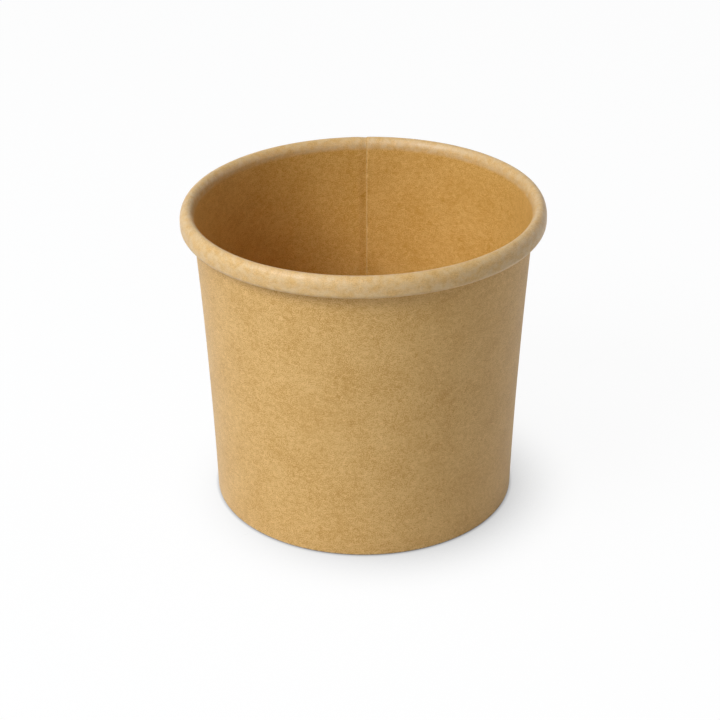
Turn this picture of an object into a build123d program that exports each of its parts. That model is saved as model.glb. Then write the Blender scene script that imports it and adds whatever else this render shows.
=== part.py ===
from build123d import *
import os
from math import atan2, cos, degrees, sin, sqrt

# Paper sauce cup, in millimetres. The origin is the middle of the foot on the table, +Z is up,
# and the side seam is at +Y. The cup is two bonded pieces of paperboard. The side wall is one
# sheet: a tapered wall with a lapped seam, curled outwards at the rim and hemmed inwards at the
# foot. The base disc has a drawn skirt, which the hem holds against the wall.
# A section is drawn with X as the distance from the axis and Y as the height.

# Main sizes
cup_height = 54.0
rim_radius = 31.0           # outside of the curled rim, which a 62 mm lid snaps over
wall_taper = 2.65           # how much narrower the inside is at the foot than at the rim
wall_bow = 0.35             # how far the wall bows in between foot and rim

# Paperboard
wall_board = 0.35
base_board = 0.35
seal_film = 0.02            # melted coating between two bonded faces

# Curled rim
curl_width = 2.35
curl_side = 1.58            # straight outer side, between the round top and the hook below
curl_gap = 0.05             # between the hook's tail and the doubled wall
tail_length = 0.9           # straight end of the sheet inside the curl

# Foot and base disc
recess_height = 5.0         # from the table to the underside of the disc
disc_inner_radius = 0.45    # inside of the bend between disc and skirt
hem_gap = 0.15              # from the hem's top edge to that bend
skirt_gap = 0.15            # from the skirt's edge to the fold below it

# Side seam, measured round the rim. Both of its plies are pressed thinner.
lap_width = 7.0
step_width = 1.7            # where the sheet steps out over its own inner end
seam_angle = 90.0           # place of the inner end's cut edge
inner_ply = 0.2
outer_ply = 0.32
lap_board = inner_ply + outer_ply

# The wall leaves the round top of the curl at a tangent and bends round a far centre
crest_radius = curl_width / 2
crest_centre = Vector(rim_radius - crest_radius, cup_height - crest_radius)
foot_point = Vector(rim_radius - curl_width - wall_taper, 0)
wall_lean = atan2(wall_taper, crest_centre.Y) + 4 * wall_bow / crest_centre.Y
wall_normal = Vector(cos(wall_lean), -sin(wall_lean))
wall_top = crest_centre - wall_normal * crest_radius
wall_chord = foot_point - wall_top
bend_radius = wall_chord.length**2 / (2 * wall_chord.dot(wall_normal))
bend_centre = wall_top + wall_normal * bend_radius

# The skirt stands in the slot between the wall and the hem
slot_width = base_board + 2 * seal_film
hem_height = recess_height - disc_inner_radius - hem_gap


# The point at a height on a curve that follows the wall, inwards of its food face by the inset
def beside_wall(inset, height):
    drop = height - bend_centre.Y
    reach = sqrt((bend_radius + inset) ** 2 - drop**2)
    return Vector(bend_centre.X - reach, height)


def curve_beside_wall(inset, low, high):
    middle = (low + high) / 2
    return ThreePointArc(*[beside_wall(inset, height) for height in (low, middle, high)])


# One face of the sheet in section, from the hem's edge round the fold, up the wall and round
# the curl to the tail. The shift is the distance from the food side towards the outer side.
def sheet_line(shift, fold_level):
    crest_reach = crest_radius - shift
    crest = crest_centre + Vector(0, crest_reach)
    side_top = crest_centre + Vector(crest_reach, 0)

    # The tail stands clear of the doubled wall
    hook_level = crest_centre.Y - curl_side
    tail_face = beside_wall(-lap_board, hook_level + tail_length).X + curl_gap
    hook_radius = (rim_radius - tail_face) / 2
    hook_centre = Vector(rim_radius - hook_radius, hook_level)
    hook_reach = hook_radius - shift
    side_low = hook_centre + Vector(hook_reach, 0)
    hook_low = hook_centre - Vector(0, hook_reach)
    tail_low = hook_centre - Vector(hook_reach, 0)

    hem_foot = beside_wall(slot_width + shift, fold_level)
    wall_foot = beside_wall(-shift, fold_level)
    wall_end = crest_centre - wall_normal * crest_reach
    wall_middle = beside_wall(-shift, (fold_level + wall_end.Y) / 2)
    return [
        curve_beside_wall(slot_width + shift, fold_level, hem_height),
        Line(hem_foot, wall_foot),
        ThreePointArc(wall_foot, wall_middle, wall_end),
        ThreePointArc(wall_end, crest, side_top),
        Line(side_top, side_low),
        ThreePointArc(side_low, hook_low, tail_low),
        Line(tail_low, tail_low + Vector(0, tail_length)),
    ]


# A closed section of the sheet between two shifts. The crease at the foot is sharp inside and
# one board round outside. Both plies of the seam are one board thick under it, so that the foot
# stays level.
def sheet_section(food_shift, outer_shift):
    food_line = sheet_line(food_shift, wall_board)
    outer_line = sheet_line(outer_shift, 0)
    hem_edge = Line(food_line[0] @ 1, outer_line[0] @ 1)
    tail_edge = Line(food_line[-1] @ 1, outer_line[-1] @ 1)
    face = make_face([*food_line, *outer_line, hem_edge, tail_edge])
    table_corners = face.vertices().filter_by_position(Axis.Y, -seal_film, seal_film)
    return fillet(table_corners, wall_board)


# Stands a section upright, at an angle round the cup's axis
def stand_up(section, angle):
    return Rot(0, 0, angle) * (Plane.XZ * section)


def make_side_wall():
    single = sheet_section(0, wall_board)
    stepped = sheet_section(inner_ply, lap_board)
    doubled = sheet_section(0, lap_board)
    lap_angle = degrees(lap_width / rim_radius)
    step_angle = degrees(step_width / rim_radius)
    step_end = seam_angle + step_angle
    plain_part = revolve(stand_up(single, step_end), Axis.Z, 360 - step_angle - lap_angle)
    step_part = loft([stand_up(stepped, seam_angle), stand_up(single, step_end)], ruled=True)
    lap_part = revolve(stand_up(doubled, seam_angle - lap_angle), Axis.Z, lap_angle)
    return plain_part + step_part + lap_part


def make_base_disc():
    food_side = recess_height + base_board
    skirt_edge = wall_board + skirt_gap
    outer = curve_beside_wall(seal_film, skirt_edge, food_side)
    inner = curve_beside_wall(seal_film + base_board, skirt_edge, recess_height)
    outline = [
        outer,
        inner,
        Line(outer @ 0, inner @ 0),
        Line(outer @ 1, (0, food_side)),
        Line(inner @ 1, (0, recess_height)),
        Line((0, recess_height), (0, food_side)),
    ]
    section = make_face(outline)
    inner_corner = section.vertices().sort_by_distance(inner @ 1)[0]
    section = fillet(inner_corner, disc_inner_radius)
    outer_corner = section.vertices().sort_by_distance(outer @ 1)[0]
    section = fillet(outer_corner, disc_inner_radius + base_board)
    return revolve(Plane.XZ * section, Axis.Z)


os.makedirs("parts", exist_ok=True)
export_step(make_side_wall(), "parts/side_wall.step")
export_step(make_base_disc(), "parts/base_disc.step")
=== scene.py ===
from math import atan2, cos, hypot, pi, radians, sin, sqrt

import bmesh
import bpy
from mathutils import Matrix, Vector


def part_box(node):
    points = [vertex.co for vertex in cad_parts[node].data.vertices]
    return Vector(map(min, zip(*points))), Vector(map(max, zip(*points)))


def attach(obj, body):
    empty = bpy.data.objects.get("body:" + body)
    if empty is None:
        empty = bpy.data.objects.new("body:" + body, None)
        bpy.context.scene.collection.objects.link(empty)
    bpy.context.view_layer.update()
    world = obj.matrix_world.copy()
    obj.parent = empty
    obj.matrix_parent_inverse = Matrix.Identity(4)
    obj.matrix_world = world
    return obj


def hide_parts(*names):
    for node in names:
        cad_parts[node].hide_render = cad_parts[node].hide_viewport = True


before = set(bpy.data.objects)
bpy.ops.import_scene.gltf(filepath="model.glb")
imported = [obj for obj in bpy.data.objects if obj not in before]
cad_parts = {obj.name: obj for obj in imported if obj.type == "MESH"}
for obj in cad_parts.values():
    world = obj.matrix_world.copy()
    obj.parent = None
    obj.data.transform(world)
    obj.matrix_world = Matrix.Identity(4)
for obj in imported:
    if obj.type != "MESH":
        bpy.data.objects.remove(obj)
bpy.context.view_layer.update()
print("frame loaded:", ", ".join(sorted(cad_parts)))

mm = 0.001

# The cup's section, as it is cut and folded. Lengths are in millimetres.
cupSizes = {
    "rimRadius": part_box("side_wall")[1].y / mm,
    "height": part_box("side_wall")[1].z / mm,
    "taper": 2.65,          # how much narrower the inside is at the foot
    "bow": 0.35,            # how far the wall bows in half way up
    "board": 0.35,
    "film": 0.02,           # coating between bonded faces
    "curlWidth": 2.35,
    "curlSide": 1.58,
    "easeIn": 0.5,          # how much longer the curl's round top runs down on the inside
    "easeOut": 0.8,         # and on the outside, where the board springs back a little
    "curlGap": 0.05,
    "tail": 0.9,
    "recess": 5.0,          # table to the underside of the disc
    "discBend": 0.45,
    "hemGap": 0.15,
    "skirtGap": 0.15,
    "crease": 0.03,         # inside radius of the fold at the foot
    "pressFrom": 47.0,      # height where the inner ply starts to be pressed for the rim
    "pressOver": 5.0,       # and the height that it takes
}

# Rows of the mesh along each part of the section
sectionRows = {
    "hem": 7,
    "crease": 5,
    "wall": 17,
    "crest": 17,
    "side": 3,
    "hook": 15,
    "flat": 16,
    "corner": 9,
    "skirt": 6,
    "pucker": 3,            # rows of the flat that the corner's wrinkles reach
}

# How the sheet is wrapped round
wrapSizes = {
    "seamAngle": 90.0,      # degrees, the back of the cup
    "lap": 7.0,             # millimetres round the rim
    "step": 1.7,
    "innerPly": 0.2,        # both plies of the seam are pressed thinner
    "outerPly": 0.32,
    "rimPress": 0.5,        # how much thinner still the inner ply is on the rim
    "skive": 0.2,           # how far the cut edge slopes
    "columns": 720,
    "seamFilm": 0.01,
    "wobble": 0.07,         # how far the wall wanders from round
    "wobbleRound": 1.1,     # scale of that wander round the cup
    "wobbleUp": 34.0,       # and up the wall, per metre
    "heldBelow": 6.0,       # height up to which the disc holds the wall round and level
    "freeAbove": 22.0,
    "rimTilt": 0.58,        # degrees, the rim stands a little higher on the right
    "tiltedAbove": 50.0,    # height where the wall has all of that tilt
    "knurls": 110,          # dents pressed into the hem
    "knurlDepth": 0.07,
    "blankRadius": 28.0,    # where the flat blank's coordinates are true to size
    "weld": 0.002,
    "sharpAngle": 38.0,     # degrees, a sharper edge is shaded as a cut
    "seed": 4,
}

discSizes = {
    "columns": 360,
    "gather": 0.7,          # draws the flat's rows towards the corner
    "pucker": 0.06,         # depth of the drawn corner's wrinkles
    "puckerScale": 17.0,
    "sag": 0.05,
    "sagReach": 24.0,       # from the middle to where the sag ends
    "sagScale": 60.0,
    "seed": 11,
}


# Node helpers: a socket takes either a link or a plain value
def plug(tree, socket, value):
    if isinstance(value, bpy.types.NodeSocket):
        tree.links.new(value, socket)
    else:
        socket.default_value = value


def addNode(tree, kind, inputs=None, **settings):
    made = tree.nodes.new(kind)
    for key, value in settings.items():
        setattr(made, key, value)
    for key, value in (inputs or {}).items():
        plug(tree, made.inputs[key], value)
    return made


def calc(tree, operation, *values):
    made = addNode(tree, "ShaderNodeMath", operation=operation)
    for socket, value in zip(made.inputs, values):
        plug(tree, socket, value)
    return made.outputs[0]


def vectorCalc(tree, operation, *values):
    made = addNode(tree, "ShaderNodeVectorMath", operation=operation)
    for socket, value in zip(made.inputs, values):
        plug(tree, socket, value)
    return made.outputs[0]


def scaled(tree, vector, amount):
    made = addNode(tree, "ShaderNodeVectorMath", operation="SCALE")
    plug(tree, made.inputs[0], vector)
    plug(tree, made.inputs["Scale"], amount)
    return made.outputs[0]


def smoothBetween(tree, value, low, high):
    inputs = {"Value": value, "From Min": low, "From Max": high}
    return addNode(tree, "ShaderNodeMapRange", inputs, interpolation_type="SMOOTHSTEP").outputs[0]


def noise(tree, vector, scale, detail=2.0, roughness=0.5, distortion=0.0):
    inputs = {
        "Vector": vector,
        "Scale": scale,
        "Detail": detail,
        "Roughness": roughness,
        "Distortion": distortion,
    }
    return addNode(tree, "ShaderNodeTexNoise", inputs).outputs[0]


# The section of the board. Every point holds its place, the way to the board's outer side and
# what happens there: fold is pressed under the seam, knurl is dented and pucker is wrinkled.
def sectionGeometry():
    s = dict(cupSizes)
    s["crest"] = s["curlWidth"] / 2
    s["crestX"] = s["rimRadius"] - s["crest"]
    s["crestZ"] = s["height"] - s["crest"]
    footX = s["rimRadius"] - s["curlWidth"] - s["taper"]
    s["lean"] = atan2(s["taper"], s["crestZ"]) + 4 * s["bow"] / s["crestZ"]
    normalX, normalZ = cos(s["lean"]), -sin(s["lean"])
    topX, topZ = s["crestX"] - normalX * s["crest"], s["crestZ"] - normalZ * s["crest"]
    chordX, chordZ = footX - topX, -topZ
    s["bend"] = (chordX**2 + chordZ**2) / (2 * (chordX * normalX + chordZ * normalZ))
    s["bendX"], s["bendZ"] = topX + normalX * s["bend"], topZ + normalZ * s["bend"]
    s["slot"] = s["board"] + 2 * s["film"]
    s["hemTop"] = s["recess"] - s["discBend"] - s["hemGap"]
    s["hookZ"] = s["crestZ"] - s["curlSide"]
    lapBoard = wrapSizes["innerPly"] + wrapSizes["outerPly"]
    tailFace = besideWall(s, -lapBoard, s["hookZ"] + s["tail"]) + s["curlGap"]
    s["hook"] = (s["rimRadius"] - tailFace) / 2
    s["hookX"] = s["rimRadius"] - s["hook"]
    return s


# Distance from the axis of a curve that follows the wall, inwards of its food face by the inset
def besideWall(s, inset, height):
    return s["bendX"] - sqrt((s["bend"] + inset) ** 2 - (height - s["bendZ"]) ** 2)


def wallRun(s, inset, low, high, count, side):
    run = []
    for index in range(count):
        height = low + (high - low) * index / (count - 1)
        x = besideWall(s, inset, height)
        away = Vector((s["bendX"] - x, s["bendZ"] - height)).normalized() * side
        run.append((x, height, away))
    return run


def roundRun(centreX, centreZ, radius, start, end, count, side):
    run = []
    for index in range(count):
        angle = radians(start + (end - start) * index / (count - 1))
        away = Vector((cos(angle), sin(angle)))
        run.append((centreX + away.x * radius, centreZ + away.y * radius, away * side))
    return run


# The round top of the curl, from the wall over to the outer side. It is stretched downwards on
# both sides, and its inner end meets the wall's slope.
def crestRun(s, count):
    run = []
    tallIn, tallOut = s["crest"] + s["easeIn"], s["crest"] + s["easeOut"]
    meet = atan2(sin(s["lean"]) * tallIn, cos(s["lean"]) * s["crest"])
    meetZ = s["height"] - tallIn * (1 - sin(meet))
    gap = besideWall(s, 0, meetZ) - s["crestX"] + s["crest"] * cos(meet)
    for index in range(count):
        angle = (pi - meet) * (1 - index / (count - 1))
        tall = tallIn if angle > pi / 2 else tallOut
        lower = (1 - sin(angle)) / (1 - sin(meet)) if angle > pi / 2 else 0
        x = s["crestX"] + s["crest"] * cos(angle) + gap * lower
        z = s["height"] - tall * (1 - sin(angle))
        away = Vector((-cos(angle) * tall, -sin(angle) * s["crest"])).normalized()
        run.append((x, z, away))
    return run


def straightRun(start, end, away, count):
    run = []
    for index in range(1, count):
        share = index / count
        x = start[0] + (end[0] - start[0]) * share
        z = start[1] + (end[1] - start[1]) * share
        run.append((x, z, Vector(away)))
    return run


def sheetSection(s):
    crease, floor = s["crease"], s["board"]
    bendZ = floor + crease
    hemX = besideWall(s, s["slot"], bendZ)
    wallX = besideWall(s, 0, bendZ)
    rows = sectionRows
    hem = wallRun(s, s["slot"], s["hemTop"], bendZ, rows["hem"], -1)
    hemBend = roundRun(hemX + crease, bendZ, crease, 180, 270, rows["crease"], 1)
    wallBend = roundRun(wallX - crease, bendZ, crease, 270, 360, rows["crease"], 1)
    fold = hemBend + straightRun(hemBend[-1], wallBend[0], (0, -1), 2) + wallBend
    crest = crestRun(s, rows["crest"])
    wall = wallRun(s, 0, bendZ, crest[0][1], rows["wall"], 1)
    hook = roundRun(s["hookX"], s["hookZ"], s["hook"], 0, -180, rows["hook"], -1)
    side = straightRun(crest[-1], hook[0], (-1, 0), rows["side"])
    tailEnd = (hook[-1][0], s["hookZ"] + s["tail"], Vector((1, 0)))
    points = hem[:-1] + fold + wall[1:-1] + crest + side + hook + [tailEnd]
    numbers = range(len(points))
    knurled = range(1, len(hem) - 1)
    folded = range(len(hem) - 1, len(hem) - 1 + len(fold))
    curlStart = travelledAlong(points)[-len(crest + side + hook) - 1]
    pressed = [(z - s["pressFrom"]) / s["pressOver"] for x, z, away in points]
    weights = {
        "fold": [float(index in folded) for index in numbers],
        "knurl": [float(index in knurled) for index in numbers],
        "rim": [min(max(share, 0), 1) for share in pressed],
    }
    return points, weights, curlStart


# Distance along the board from the section's first point, in millimetres
def travelledAlong(points):
    travelled = [0.0]
    for (x, z, _), (nextX, nextZ, _) in zip(points, points[1:]):
        travelled.append(travelled[-1] + hypot(nextX - x, nextZ - z))
    return travelled


def discSection(s):
    top = s["recess"] + s["board"]
    bend = s["discBend"] + s["board"]
    skirtEdge = s["board"] + s["skirtGap"]
    bendZ = top - bend
    skirtX = besideWall(s, s["film"], bendZ)
    rows = sectionRows
    corner = roundRun(skirtX - bend, bendZ, bend, 90, 0, rows["corner"], -1)
    flat = []
    for index in range(rows["flat"]):
        share = (index / rows["flat"]) ** discSizes["gather"]
        flat.append((corner[0][0] * share, top, Vector((0, -1))))
    skirt = wallRun(s, s["film"], bendZ, skirtEdge, rows["skirt"], -1)
    points = flat + corner + skirt[1:]
    pucker = [0.0] * len(points)
    first = len(flat) - rows["pucker"]
    for index in range(first, len(flat) + len(corner) - 1):
        pucker[index] = sin(pi * (index - first + 1) / (len(corner) + rows["pucker"]))
    return points, {"pucker": pucker}


# What every point of a section carries into the tree
sectionWeights = ("along", "fold", "rim", "knurl", "pucker")


def profileObject(name, points, weights):
    mesh = bpy.data.meshes.new(name)
    edges = [(index, index + 1) for index in range(len(points) - 1)]
    mesh.from_pydata([(x * mm, 0, z * mm) for x, z, away in points], edges, [])
    weights = {"along": travelledAlong(points), **weights}
    for weight in sectionWeights:
        values = mesh.attributes.new(weight, "FLOAT", "POINT")
        values.data.foreach_set("value", weights.get(weight, [0.0] * len(points)))
    outward = mesh.attributes.new("outward", "FLOAT_VECTOR", "POINT")
    parts = [part for x, z, away in points for part in (away.x, 0, away.y)]
    outward.data.foreach_set("vector", parts)
    made = bpy.data.objects.new(name, mesh)
    bpy.context.scene.collection.objects.link(made)
    return made


# Geometry Nodes: a sheet of board swept round the axis along its section. The sheet starts at
# the seam, goes once round and laps over its own start.
def boardTree():
    tree = bpy.data.node_groups.new("sweptBoard", "GeometryNodeTree")
    sockets = [
        ("Section", "Object"),
        ("Board", "Float"),
        ("Start Angle", "Float"),
        ("Lap", "Float"),
        ("Step", "Float"),
        ("Film", "Float"),
        ("Inner Ply", "Float"),
        ("Outer Ply", "Float"),
        ("Rim Press", "Float"),
        ("Skive", "Float"),
        ("Columns", "Int"),
        ("Rows", "Int"),
        ("Wobble", "Float"),
        ("Rim Tilt", "Float"),
        ("Knurls", "Float"),
        ("Knurl Depth", "Float"),
        ("Pucker", "Float"),
        ("Sag", "Float"),
        ("Round Blank", "Float"),
        ("Closed", "Float"),
        ("Seed", "Float"),
        ("Food Side", "Material"),
        ("Outer Side", "Material"),
        ("Cut Edge", "Material"),
    ]
    for name, kind in sockets:
        tree.interface.new_socket(name, in_out="INPUT", socket_type="NodeSocket" + kind)
    tree.interface.new_socket("Geometry", in_out="OUTPUT", socket_type="NodeSocketGeometry")
    given = tree.nodes.new("NodeGroupInput").outputs

    # A plain grid: X runs round the cup, Y runs along the section
    grid = addNode(tree, "GeometryNodeMeshGrid", {
        "Size X": 1.0,
        "Size Y": 1.0,
        "Vertices X": given["Columns"],
        "Vertices Y": given["Rows"],
    })
    place = addNode(tree, "GeometryNodeInputPosition")
    split = addNode(tree, "ShaderNodeSeparateXYZ", {0: place.outputs[0]})
    roundShare = calc(tree, "ADD", split.outputs[0], 0.5)
    sectionShare = calc(tree, "ADD", split.outputs[1], 0.5)
    lastRow = calc(tree, "SUBTRACT", given["Rows"], 1.0)
    row = calc(tree, "ROUND", calc(tree, "MULTIPLY", sectionShare, lastRow))
    section = addNode(tree, "GeometryNodeObjectInfo", {"Object": given["Section"]}).outputs["Geometry"]

    def named(name, kind):
        made = addNode(tree, "GeometryNodeInputNamedAttribute", {"Name": name}, data_type=kind)
        return made.outputs["Attribute"]

    def store(geometry, name, value, kind="FLOAT", domain="POINT"):
        inputs = {"Geometry": geometry, "Name": name, "Value": value}
        made = addNode(tree, "GeometryNodeStoreNamedAttribute", inputs, data_type=kind, domain=domain)
        return made.outputs[0]

    def fromSection(value, kind="FLOAT"):
        inputs = {"Geometry": section, "Value": value, "Index": row}
        made = addNode(tree, "GeometryNodeSampleIndex", inputs, data_type=kind, domain="POINT")
        return made.outputs[0]

    carried = store(grid.outputs["Mesh"], "roundShare", roundShare)
    carried = store(carried, "base", fromSection(place.outputs[0], "FLOAT_VECTOR"), "FLOAT_VECTOR")
    outerWay = fromSection(named("outward", "FLOAT_VECTOR"), "FLOAT_VECTOR")
    carried = store(carried, "outward", outerWay, "FLOAT_VECTOR")
    for name in sectionWeights:
        carried = store(carried, name, fromSection(named(name, "FLOAT")))

    # The outer side is the same grid again, joined to the food side by the cut edges
    raiseInputs = {"Mesh": carried, "Offset Scale": 0.0, "Individual": False}
    raised = addNode(tree, "GeometryNodeExtrudeMesh", raiseInputs)
    outer = store(raised.outputs["Mesh"], "outerSide", raised.outputs["Top"])
    outer = store(outer, "outerFace", raised.outputs["Top"], "BOOLEAN", "FACE")
    outer = store(outer, "cutFace", raised.outputs["Side"], "BOOLEAN", "FACE")
    atEnd = calc(tree, "GREATER_THAN", calc(tree, "ABSOLUTE", split.outputs[0]), 0.5 - 1e-5)
    atEnd = calc(tree, "MAXIMUM", atEnd, calc(tree, "LESS_THAN", split.outputs[1], 1e-5 - 0.5))
    closing = calc(tree, "MULTIPLY", raised.outputs["Side"], atEnd)
    closing = calc(tree, "MULTIPLY", closing, given["Closed"])
    keptInputs = {"Geometry": outer, "Selection": closing}
    kept = addNode(tree, "GeometryNodeDeleteGeometry", keptInputs, domain="FACE")
    outer = addNode(tree, "GeometryNodeFlipFaces", {"Mesh": kept.outputs[0]}).outputs[0]
    joined = addNode(tree, "GeometryNodeJoinGeometry")
    tree.links.new(outer, joined.inputs[0])
    tree.links.new(carried, joined.inputs[0])

    # Angle travelled from the seam. The cut edges slope, because the outer side lags behind.
    outerSide = named("outerSide", "FLOAT")
    turn = calc(tree, "ADD", 2 * pi, given["Lap"])
    foodTurn = calc(tree, "SUBTRACT", turn, given["Skive"])
    travel = calc(tree, "MULTIPLY", named("roundShare", "FLOAT"), foodTurn)
    lead = calc(tree, "MULTIPLY", calc(tree, "SUBTRACT", 1.0, outerSide), given["Skive"])
    travel = calc(tree, "ADD", travel, lead)
    angle = calc(tree, "SUBTRACT", given["Start Angle"], travel)
    across, up = calc(tree, "COSINE", angle), calc(tree, "SINE", angle)

    # The sheet's second end steps out over its first. Both ends are pressed thinner, and
    # together they are one board thick under the fold.
    seamed = calc(tree, "SIGN", given["Lap"])
    stepStart = calc(tree, "SUBTRACT", 2 * pi, given["Step"])
    stepped = calc(tree, "MULTIPLY", smoothBetween(tree, travel, stepStart, 2 * pi), seamed)
    lapEnd = calc(tree, "MULTIPLY_ADD", given["Step"], 0.25, given["Lap"])
    covered = calc(tree, "SUBTRACT", 1.0, smoothBetween(tree, travel, given["Lap"], lapEnd))
    covered = calc(tree, "MULTIPLY", covered, seamed)
    rimPress = calc(tree, "MULTIPLY", named("rim", "FLOAT"), given["Rim Press"])
    innerPly = calc(tree, "MULTIPLY", given["Inner Ply"], calc(tree, "SUBTRACT", 1.0, rimPress))
    innerLift = calc(tree, "ADD", innerPly, given["Film"])
    outerChange = calc(tree, "SUBTRACT", given["Outer Ply"], given["Board"])
    innerChange = calc(tree, "SUBTRACT", innerPly, given["Board"])
    thickness = calc(tree, "MULTIPLY_ADD", stepped, outerChange, given["Board"])
    thickness = calc(tree, "MULTIPLY_ADD", covered, innerChange, thickness)
    shift = calc(tree, "MULTIPLY", stepped, innerLift)
    shift = calc(tree, "MULTIPLY_ADD", outerSide, thickness, shift)
    growth = calc(tree, "SUBTRACT", calc(tree, "ADD", innerLift, given["Outer Ply"]), given["Board"])
    stack = calc(tree, "MULTIPLY_ADD", calc(tree, "MAXIMUM", stepped, covered), growth, given["Board"])
    flattened = calc(tree, "SUBTRACT", 1.0, calc(tree, "DIVIDE", given["Board"], stack))
    flattened = calc(tree, "MULTIPLY", flattened, named("fold", "FLOAT"))

    # Dents in the hem, wrinkles in the drawn corner and a slight sag of the disc
    wave = calc(tree, "COSINE", calc(tree, "MULTIPLY", angle, given["Knurls"]))
    dent = calc(tree, "MULTIPLY", calc(tree, "MULTIPLY_ADD", wave, 0.5, 0.5), given["Knurl Depth"])
    dent = calc(tree, "MULTIPLY", dent, calc(tree, "MULTIPLY", outerSide, named("knurl", "FLOAT")))
    shift = calc(tree, "SUBTRACT", shift, dent)
    ring = addNode(tree, "ShaderNodeCombineXYZ", {0: across, 1: up, 2: given["Seed"]}).outputs[0]
    wrinkle = noise(tree, ring, discSizes["puckerScale"], 2.0)
    wrinkle = smoothBetween(tree, wrinkle, 0.35, 0.7)
    wrinkle = calc(tree, "MULTIPLY", wrinkle, named("pucker", "FLOAT"))
    wrinkle = calc(tree, "MULTIPLY", wrinkle, given["Pucker"])
    shift = calc(tree, "ADD", shift, wrinkle)

    base = addNode(tree, "ShaderNodeSeparateXYZ", {0: named("base", "FLOAT_VECTOR")})
    away = addNode(tree, "ShaderNodeSeparateXYZ", {0: named("outward", "FLOAT_VECTOR")})
    downShift = calc(tree, "MULTIPLY", shift, calc(tree, "SUBTRACT", 1.0, flattened))
    reach = calc(tree, "MULTIPLY_ADD", away.outputs[0], shift, base.outputs[0])
    height = calc(tree, "MULTIPLY_ADD", away.outputs[2], downShift, base.outputs[2])

    # The wall isn't quite round. The wander fades out above the foot, where the disc holds it.
    wanderAt = addNode(tree, "ShaderNodeCombineXYZ", {
        0: calc(tree, "MULTIPLY_ADD", across, wrapSizes["wobbleRound"], given["Seed"]),
        1: calc(tree, "MULTIPLY", up, wrapSizes["wobbleRound"]),
        2: calc(tree, "MULTIPLY", base.outputs[2], wrapSizes["wobbleUp"]),
    }).outputs[0]
    wander = calc(tree, "SUBTRACT", noise(tree, wanderAt, 1.0, 1.5), 0.5)
    held, loose = wrapSizes["heldBelow"] * mm, wrapSizes["freeAbove"] * mm
    free = smoothBetween(tree, base.outputs[2], held, loose)
    wander = calc(tree, "MULTIPLY", calc(tree, "MULTIPLY", wander, 2.0), given["Wobble"])
    reach = calc(tree, "MULTIPLY_ADD", wander, free, reach)
    sagAt = scaled(tree, addNode(tree, "ShaderNodeCombineXYZ", {
        0: calc(tree, "MULTIPLY", across, base.outputs[0]),
        1: calc(tree, "MULTIPLY", up, base.outputs[0]),
    }).outputs[0], discSizes["sagScale"])
    sagEnd = smoothBetween(tree, base.outputs[0], 0.0, discSizes["sagReach"] * mm)
    sagDepth = calc(tree, "MULTIPLY", calc(tree, "SUBTRACT", 1.0, sagEnd), given["Sag"])
    sag = calc(tree, "MULTIPLY", noise(tree, sagAt, 1.0, 1.0), sagDepth)
    height = calc(tree, "SUBTRACT", height, sag)
    aside = calc(tree, "MULTIPLY", calc(tree, "MULTIPLY", reach, across), given["Rim Tilt"])
    tilted = smoothBetween(tree, base.outputs[2], held, wrapSizes["tiltedAbove"] * mm)
    height = calc(tree, "MULTIPLY_ADD", aside, tilted, height)

    target = addNode(tree, "ShaderNodeCombineXYZ", {
        0: calc(tree, "MULTIPLY", reach, across),
        1: calc(tree, "MULTIPLY", reach, up),
        2: height,
    }).outputs[0]
    sweptInputs = {"Geometry": joined.outputs[0], "Position": target}
    swept = addNode(tree, "GeometryNodeSetPosition", sweptInputs).outputs[0]

    # The flat blank's own coordinates, in millimetres, carry the fibres
    along = named("along", "FLOAT")
    blankWall = addNode(tree, "ShaderNodeCombineXYZ", {
        0: calc(tree, "MULTIPLY", travel, wrapSizes["blankRadius"]),
        1: along,
    }).outputs[0]
    blankDisc = addNode(tree, "ShaderNodeCombineXYZ", {
        0: calc(tree, "MULTIPLY", along, across),
        1: calc(tree, "MULTIPLY", along, up),
    }).outputs[0]
    mixed = addNode(tree, "ShaderNodeMix", data_type="VECTOR")
    plug(tree, mixed.inputs[0], given["Round Blank"])
    plug(tree, mixed.inputs[4], blankWall)
    plug(tree, mixed.inputs[5], blankDisc)
    swept = store(swept, "blank", mixed.outputs[1], "FLOAT2", "CORNER")

    # Weld the grids and the pole, then shade the folds smooth and the cut edges sharp
    weldInputs = {"Geometry": swept, "Distance": wrapSizes["weld"] * mm}
    welded = addNode(tree, "GeometryNodeMergeByDistance", weldInputs).outputs[0]
    smoothInputs = {"Geometry": welded, "Shade Smooth": True}
    smooth = addNode(tree, "GeometryNodeSetShadeSmooth", smoothInputs, domain="FACE")
    edgeAngle = addNode(tree, "GeometryNodeInputMeshEdgeAngle").outputs[0]
    sharp = calc(tree, "GREATER_THAN", edgeAngle, radians(wrapSizes["sharpAngle"]))
    creased = addNode(tree, "GeometryNodeSetShadeSmooth", {
        "Geometry": smooth.outputs[0],
        "Selection": sharp,
        "Shade Smooth": False,
    }, domain="EDGE").outputs[0]
    realized = addNode(tree, "GeometryNodeRealizeInstances", {"Geometry": creased}).outputs[0]
    dressInputs = {"Geometry": realized, "Material": given["Food Side"]}
    dressed = addNode(tree, "GeometryNodeSetMaterial", dressInputs)
    for name, socket in (("outerFace", "Outer Side"), ("cutFace", "Cut Edge")):
        inputs = {
            "Geometry": dressed.outputs[0],
            "Selection": named(name, "BOOLEAN"),
            "Material": given[socket],
        }
        dressed = addNode(tree, "GeometryNodeSetMaterial", inputs)
    tree.links.new(dressed.outputs[0], tree.nodes.new("NodeGroupOutput").inputs[0])
    return tree


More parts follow.
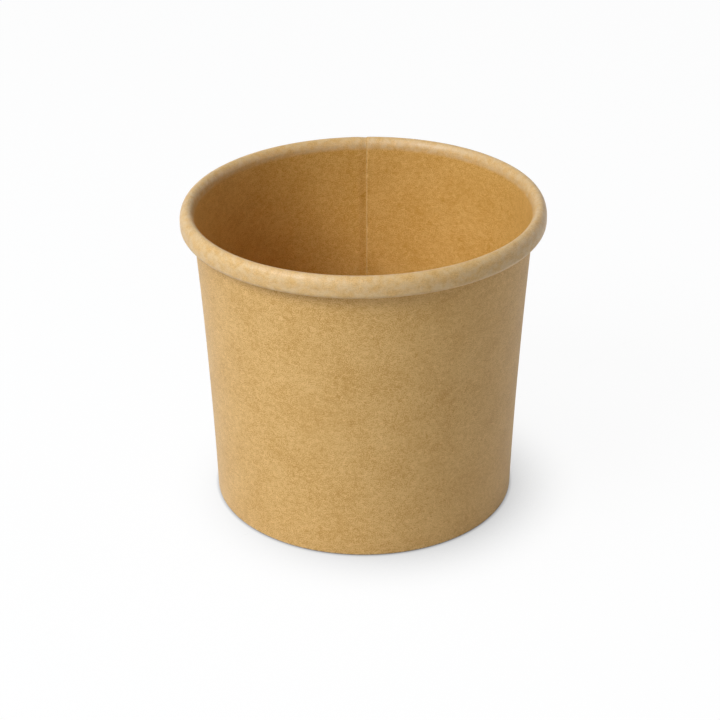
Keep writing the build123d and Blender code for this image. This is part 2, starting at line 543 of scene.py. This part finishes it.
# Runs a tree on its own inputs and keeps the result as a plain mesh
def meshFromTree(name, tree, values):
    holder = bpy.data.objects.new(name + "Holder", bpy.data.meshes.new(name + "Holder"))
    bpy.context.scene.collection.objects.link(holder)
    modifier = holder.modifiers.new("board", "NODES")
    modifier.node_group = tree
    for item in tree.interface.items_tree:
        if item.in_out == "INPUT" and item.name in values:
            modifier[item.identifier] = values[item.name]
    bpy.context.view_layer.update()
    graph = bpy.context.evaluated_depsgraph_get()
    mesh = bpy.data.meshes.new_from_object(holder.evaluated_get(graph), depsgraph=graph)
    holder.modifiers.remove(modifier)
    bpy.data.objects.remove(holder)
    spares = ("roundShare", "base", "outward", "outerSide", "outerFace", "cutFace")
    for spare in spares + sectionWeights:
        mesh.attributes.remove(mesh.attributes[spare])
    mesh.materials.pop(index=0)     # the tree leaves an empty first slot
    mesh.name = name
    checkShell(mesh)
    made = bpy.data.objects.new(name, mesh)
    bpy.context.scene.collection.objects.link(made)
    return made


# A closed board has no open edges, and its volume is above zero where its faces point outwards
def checkShell(mesh):
    shell = bmesh.new()
    shell.from_mesh(mesh)
    openEdges = sum(1 for edge in shell.edges if not edge.is_manifold)
    volume = shell.calc_volume(signed=True) / mm**3
    shell.free()
    print(f"{mesh.name}: {len(mesh.polygons)} faces, {volume:.0f} mm3, {openEdges} open edges")


# Kraft pulp: grain, cloudy mottle, short fibres lying every way and a few bark specks.
# The group reads the blank's coordinates in millimetres.
pulp = {
    "grainSize": 0.155,
    "grain": 3.7,
    "clump": 1.15,
    "clumpScale": 1.2,
    "cloud": 0.65,
    "cloudScale": 0.17,
    "bend": 2.2,            # how far the fibres curve
    "bendScale": 0.5,
    "lightFibre": 0.4,
    "darkFibre": 0.36,
    "speck": 0.4,
    "speckScale": 1.3,
    "fibres": (             # turn, length, width
        (6, 2.2, 0.14),
        (58, 1.5, 0.12),
        (112, 1.7, 0.13),
        (163, 2.4, 0.15),
    ),
}


def pulpGroup():
    tree = bpy.data.node_groups.new("kraftPulp", "ShaderNodeTree")
    tree.interface.new_socket("Blank", in_out="INPUT", socket_type="NodeSocketVector")
    for name in ("Tone", "Height"):
        tree.interface.new_socket(name, in_out="OUTPUT", socket_type="NodeSocketFloat")
    blank = tree.nodes.new("NodeGroupInput").outputs[0]
    bendInputs = {"Vector": blank, "Scale": pulp["bendScale"], "Detail": 1.0}
    bend = addNode(tree, "ShaderNodeTexNoise", bendInputs).outputs["Color"]
    bend = scaled(tree, vectorCalc(tree, "SUBTRACT", bend, (0.5, 0.5, 0.5)), pulp["bend"])
    bent = vectorCalc(tree, "ADD", blank, bend)

    def fibreLayer(turn, length, width, offset, low, high):
        laid = addNode(tree, "ShaderNodeMapping", {
            "Vector": bent,
            "Location": (offset, offset * 0.7, 0),
            "Rotation": (0, 0, radians(turn)),
        }).outputs[0]
        drawInputs = {"Vector": laid, "Scale": (1 / length, 1 / width, 1)}
        drawn = addNode(tree, "ShaderNodeMapping", drawInputs).outputs[0]
        return smoothBetween(tree, noise(tree, drawn, 1.0, 1.0, 0.4), low, high)

    def centred(value, amount, onto=0.0):
        return calc(tree, "MULTIPLY_ADD", calc(tree, "SUBTRACT", value, 0.5), amount, onto)

    grain = noise(tree, blank, 1 / pulp["grainSize"], 2.0, 0.6)
    tone = centred(grain, pulp["grain"], 0.5)
    tone = centred(noise(tree, blank, pulp["clumpScale"], 3.0, 0.6), pulp["clump"], tone)
    tone = centred(noise(tree, blank, pulp["cloudScale"], 2.0, 0.5), pulp["cloud"], tone)
    height = calc(tree, "MULTIPLY", grain, 0.5)
    for index, (turn, length, width) in enumerate(pulp["fibres"]):
        light = fibreLayer(turn, length, width, 3.1 + 17 * index, 0.58, 0.76)
        dark = fibreLayer(turn + 23, length, width, 11.9 + 23 * index, 0.6, 0.78)
        tone = calc(tree, "MULTIPLY_ADD", light, pulp["lightFibre"], tone)
        tone = calc(tree, "MULTIPLY_ADD", dark, -pulp["darkFibre"], tone)
        height = calc(tree, "MULTIPLY_ADD", light, 0.35, height)
    speckAt = vectorCalc(tree, "ADD", blank, (90.0, 20.0, 0.0))
    specks = noise(tree, speckAt, pulp["speckScale"], 1.0, 0.4)
    specks = smoothBetween(tree, specks, 0.72, 0.79)
    tone = calc(tree, "MULTIPLY_ADD", specks, -pulp["speck"], tone)
    leave = tree.nodes.new("NodeGroupOutput")
    tree.links.new(tone, leave.inputs["Tone"])
    tree.links.new(height, leave.inputs["Height"])
    return tree


# Finishes of the board, colours in linear light
boardFinishes = {
    "coatedKraft": {
        "dark": (0.48, 0.238, 0.032),
        "light": (0.71, 0.42, 0.13),
        "pale": (0.68, 0.53, 0.32),
        "curlPaleAndHighlight": 0.42,   # how far the curl turns to the pale colour: partly the stretched board's own paler tone, partly a painted highlight
        "paleReach": 0.75,  # and how far below the curl it starts to, in millimetres
        "roughness": 0.5,
        "specular": 0.2,
        "bump": 0.012,
        "coat": 0.38,
        "coatRoughness": 0.36,
        "sheen": 0.0,
    },
    "bareKraft": {
        "dark": (0.472, 0.24, 0.034),
        "light": (0.744, 0.473, 0.178),
        "roughness": 0.58,
        "specular": 0.5,
        "bump": 0.02,
        "coat": 0.0,
        "coatRoughness": 0.5,
        "sheen": 0.12,
    },
    "cutKraft": {
        "dark": (0.40, 0.22, 0.06),
        "light": (0.62, 0.39, 0.15),
        "roughness": 0.85,
        "specular": 0.3,
        "bump": 0.03,
        "coat": 0.0,
        "coatRoughness": 0.5,
        "sheen": 0.0,
    },
}


def blended(tree, share, first, second):
    made = addNode(tree, "ShaderNodeMix", data_type="RGBA")
    plug(tree, made.inputs[0], share)
    plug(tree, made.inputs[6], first)
    plug(tree, made.inputs[7], second)
    return made.outputs[2]


def boardMaterial(name, fibreTree, curlStart):
    finish = boardFinishes[name]
    material = bpy.data.materials.new(name)
    material.use_nodes = True
    tree = material.node_tree
    tree.nodes.clear()
    leave = tree.nodes.new("ShaderNodeOutputMaterial")
    shader = addNode(tree, "ShaderNodeBsdfPrincipled")
    blank = addNode(tree, "ShaderNodeUVMap", uv_map="blank").outputs[0]
    fibres = tree.nodes.new("ShaderNodeGroup")
    fibres.node_tree = fibreTree
    tree.links.new(blank, fibres.inputs["Blank"])
    colour = blended(tree, fibres.outputs["Tone"], (*finish["dark"], 1), (*finish["light"], 1))
    # The curl is mixed towards the pale colour: partly the stretched board's own paler tone, partly a
    # painted highlight along the rim.
    if "pale" in finish:
        alongSheet = addNode(tree, "ShaderNodeSeparateXYZ", {0: blank}).outputs[1]
        curl = smoothBetween(tree, alongSheet, curlStart - finish["paleReach"], curlStart)
        patchy = smoothBetween(tree, noise(tree, blank, 0.75, 3.0, 0.65), 0.32, 0.68)
        patchy = calc(tree, "MULTIPLY_ADD", patchy, 0.9, 0.5)
        palingAndHighlight = calc(tree, "MULTIPLY", calc(tree, "MULTIPLY", curl, finish["curlPaleAndHighlight"]), patchy)
        colour = blended(tree, palingAndHighlight, colour, (*finish["pale"], 1))
    tree.links.new(colour, shader.inputs["Base Color"])
    spread = 0.12           # how much rougher the lightest fibres are than the darkest
    low = finish["roughness"] - spread / 2
    rough = calc(tree, "MULTIPLY_ADD", fibres.outputs["Tone"], spread, low)
    tree.links.new(rough, shader.inputs["Roughness"])
    shader.inputs["Specular IOR Level"].default_value = finish["specular"]
    shader.inputs["Coat Weight"].default_value = finish["coat"]
    shader.inputs["Coat Roughness"].default_value = finish["coatRoughness"]
    shader.inputs["Sheen Weight"].default_value = finish["sheen"]
    shader.inputs["Sheen Roughness"].default_value = 0.45
    bump = addNode(tree, "ShaderNodeBump", {
        "Strength": 1.0,
        "Distance": finish["bump"] * mm,
        "Height": fibres.outputs["Height"],
    })
    tree.links.new(bump.outputs[0], shader.inputs["Normal"])
    tree.links.new(shader.outputs[0], leave.inputs["Surface"])
    return material


def buildCup():
    s = sectionGeometry()
    sheetPoints, sheetWeights, curlStart = sheetSection(s)
    fibreTree = pulpGroup()
    materials = {name: boardMaterial(name, fibreTree, curlStart) for name in boardFinishes}
    finish = {
        "Food Side": materials["coatedKraft"],
        "Outer Side": materials["bareKraft"],
        "Cut Edge": materials["cutKraft"],
    }
    tree = boardTree()
    rim = s["rimRadius"]
    shared = {
        "Board": s["board"] * mm,
        "Film": wrapSizes["seamFilm"] * mm,
        "Start Angle": radians(wrapSizes["seamAngle"]),
        **finish,
    }

    section = profileObject("sheetSection", sheetPoints, sheetWeights)
    wall = meshFromTree("sideWall", tree, {
        **shared,
        "Section": section,
        "Lap": wrapSizes["lap"] / rim,
        "Step": wrapSizes["step"] / rim,
        "Inner Ply": wrapSizes["innerPly"] * mm,
        "Outer Ply": wrapSizes["outerPly"] * mm,
        "Rim Press": wrapSizes["rimPress"],
        "Skive": wrapSizes["skive"] / rim,
        "Columns": wrapSizes["columns"],
        "Rows": len(sheetPoints),
        "Wobble": wrapSizes["wobble"] * mm,
        "Rim Tilt": radians(wrapSizes["rimTilt"]),
        "Knurls": float(wrapSizes["knurls"]),
        "Knurl Depth": wrapSizes["knurlDepth"] * mm,
        "Seed": float(wrapSizes["seed"]),
    })
    bpy.data.objects.remove(section)

    points, weights = discSection(s)
    section = profileObject("discSection", points, weights)
    disc = meshFromTree("baseDisc", tree, {
        **shared,
        "Section": section,
        "Lap": 0.0,
        "Step": 0.001,      # has no effect without a lap
        "Inner Ply": s["board"] * mm,
        "Outer Ply": s["board"] * mm,
        "Rim Press": 0.0,
        "Skive": 0.0,
        "Columns": discSizes["columns"] + 1,
        "Rows": len(points),
        "Pucker": discSizes["pucker"] * mm,
        "Sag": discSizes["sag"] * mm,
        "Round Blank": 1.0,
        "Closed": 1.0,
        "Seed": float(discSizes["seed"]),
    })
    bpy.data.objects.remove(section)
    return wall, disc


# Floor and light. A lamp's strength is the light that it gives straight on to a surface, where
# 1 shows a colour as it is written.
studio = {
    "floorSize": 6.0,
    "floorTone": 0.96,
    "floorBounce": 0.7,     # tone of the floor in the light that it throws back on the cup
    "floorWhite": 0.95,     # how far the camera sees its own white, which only the contact shades
    "contactReach": 0.014,
    "contactShade": 0.86,
    "contactLean": (-0.42, 0.22, 1.0),      # towards the light, so the shade falls away from it
    "creviceReach": 0.0006,
    "creviceShade": 0.7,
    "shadeSamples": 16,
    "world": 0.02,
    "lampDistance": 0.8,
    "lampAim": 0.03,        # height that the lamps point at
    "lamps": {              # place round the cup from the camera, height, strength, size, colour
        "key": (-52, 42, 0.71, 0.42, (1.0, 1.045, 1.12)),
        "front": (-20, 35, 0.26, 0.6, (1.0, 1.0, 1.0)),
        "kick": (104, 12, 0.28, 0.8, (1.0, 1.0, 1.0)),
        "top": (-90, 68, 0.22, 0.28, (1.0, 1.045, 1.12)),
    },
}


def seenByCamera(tree):
    rays = tree.nodes.new("ShaderNodeLightPath").outputs
    mirrored = calc(tree, "MAXIMUM", rays["Is Glossy Ray"], rays["Is Transmission Ray"])
    return calc(tree, "MAXIMUM", rays["Is Camera Ray"], mirrored)


def buildFloor():
    shell = bmesh.new()
    bmesh.ops.create_grid(shell, x_segments=1, y_segments=1, size=studio["floorSize"] / 2)
    mesh = bpy.data.meshes.new("floor")
    shell.to_mesh(mesh)
    shell.free()
    floor = bpy.data.objects.new("floor", mesh)
    bpy.context.scene.collection.objects.link(floor)
    material = bpy.data.materials.new("paleFloor")
    material.use_nodes = True
    tree = material.node_tree
    shader = tree.nodes["Principled BSDF"]
    seen = seenByCamera(tree)
    toneChange = studio["floorTone"] - studio["floorBounce"]
    tone = calc(tree, "MULTIPLY_ADD", seen, toneChange, studio["floorBounce"])
    plug(tree, shader.inputs["Base Color"], tone)
    shader.inputs["Roughness"].default_value = 0.9
    shader.inputs["Specular IOR Level"].default_value = 0.0
    lean = addNode(tree, "ShaderNodeCombineXYZ", dict(enumerate(studio["contactLean"]))).outputs[0]
    wide = {"Distance": studio["contactReach"], "Normal": vectorCalc(tree, "NORMALIZE", lean)}
    thin = {"Distance": studio["creviceReach"]}
    contact, crevice = (
        addNode(tree, "ShaderNodeAmbientOcclusion", inputs, samples=studio["shadeSamples"]).outputs["AO"]
        for inputs in (wide, thin)
    )
    covered = calc(tree, "POWER", calc(tree, "SUBTRACT", 1.0, contact), 2.0)
    shade = calc(tree, "MULTIPLY_ADD", covered, -studio["contactShade"], 1.0)
    covered = calc(tree, "MULTIPLY", calc(tree, "SUBTRACT", 1.0, crevice), studio["creviceShade"])
    shade = calc(tree, "MULTIPLY", shade, calc(tree, "SUBTRACT", 1.0, covered))
    white = addNode(tree, "ShaderNodeEmission", {"Strength": shade})
    both = addNode(tree, "ShaderNodeMixShader", {0: calc(tree, "MULTIPLY", seen, studio["floorWhite"])})
    tree.links.new(shader.outputs[0], both.inputs[1])
    tree.links.new(white.outputs[0], both.inputs[2])
    tree.links.new(both.outputs[0], tree.nodes["Material Output"].inputs["Surface"])
    mesh.materials.append(material)


def buildLights():
    world = bpy.data.worlds.new("paleStudio")
    bpy.context.scene.world = world
    world.use_nodes = True
    tree = world.node_tree
    tree.nodes.clear()
    strength = calc(tree, "MULTIPLY_ADD", seenByCamera(tree), 1.0 - studio["world"], studio["world"])
    shade = addNode(tree, "ShaderNodeBackground", {"Color": (1, 1, 1, 1), "Strength": strength})
    tree.links.new(shade.outputs[0], tree.nodes.new("ShaderNodeOutputWorld").inputs[0])
    for name, (around, height, strength, size, colour) in studio["lamps"].items():
        lamp = bpy.data.lights.new(name, "AREA")
        lamp.color = colour
        lamp.shape = "DISK"
        lamp.size = size
        lamp.energy = strength * (pi * studio["lampDistance"]) ** 2
        made = bpy.data.objects.new(name, lamp)
        bpy.context.scene.collection.objects.link(made)
        around, height = radians(around), radians(height)
        way = Vector((sin(around) * cos(height), -cos(around) * cos(height), sin(height)))
        made.location = Vector((0, 0, studio["lampAim"])) + way * studio["lampDistance"]
        made.rotation_euler = (-way).to_track_quat("-Z", "Y").to_euler()


# The photograph's view, from a fit of the rim, the wall and the foot
view = {
    "distance": 0.3357,
    "azimuth": 1.17,        # brings the seam to where the photograph shows it
    "elevation": 27.39,
    "focalPixels": 1910.6,
    "aimHeight": 25.83,     # millimetres up the axis
    "moveRight": 3.74,      # pixels that the cup's axis stands right of the middle
    "moveUp": 11.02,
    "roll": -0.166,
    "framePixels": 720,
}


def buildCamera():
    lens = bpy.data.cameras.new("camera")
    lens.sensor_width = 36.0
    lens.lens = view["focalPixels"] / view["framePixels"] * lens.sensor_width
    lens.clip_start = 0.01
    camera = bpy.data.objects.new("camera", lens)
    bpy.context.scene.collection.objects.link(camera)
    bpy.context.scene.camera = camera
    azimuth, elevation = radians(view["azimuth"]), radians(view["elevation"])
    back = Vector((sin(azimuth) * cos(elevation), -cos(azimuth) * cos(elevation), sin(elevation)))
    place = Vector((0, 0, view["aimHeight"] * mm)) + back * view["distance"]
    turn = (-back).to_track_quat("-Z", "Y").to_matrix()
    perPixel = 1 / view["focalPixels"]
    sideways = Matrix.Rotation(view["moveRight"] * perPixel, 3, "Y")
    upwards = Matrix.Rotation(-view["moveUp"] * perPixel, 3, "X")
    swing = sideways @ upwards
    roll = Matrix.Rotation(radians(view["roll"]), 3, "Z")
    camera.matrix_world = Matrix.Translation(place) @ (turn @ swing @ roll).to_4x4()


wall, disc = buildCup()
for piece, node, slot in ((wall, "side_wall", "kraft_wall"), (disc, "base_disc", "kraft_base")):
    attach(piece, "root")
    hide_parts(node)
buildFloor()
buildLights()
buildCamera()
bpy.context.scene.view_settings.view_transform = "Standard"
print("studio ready")
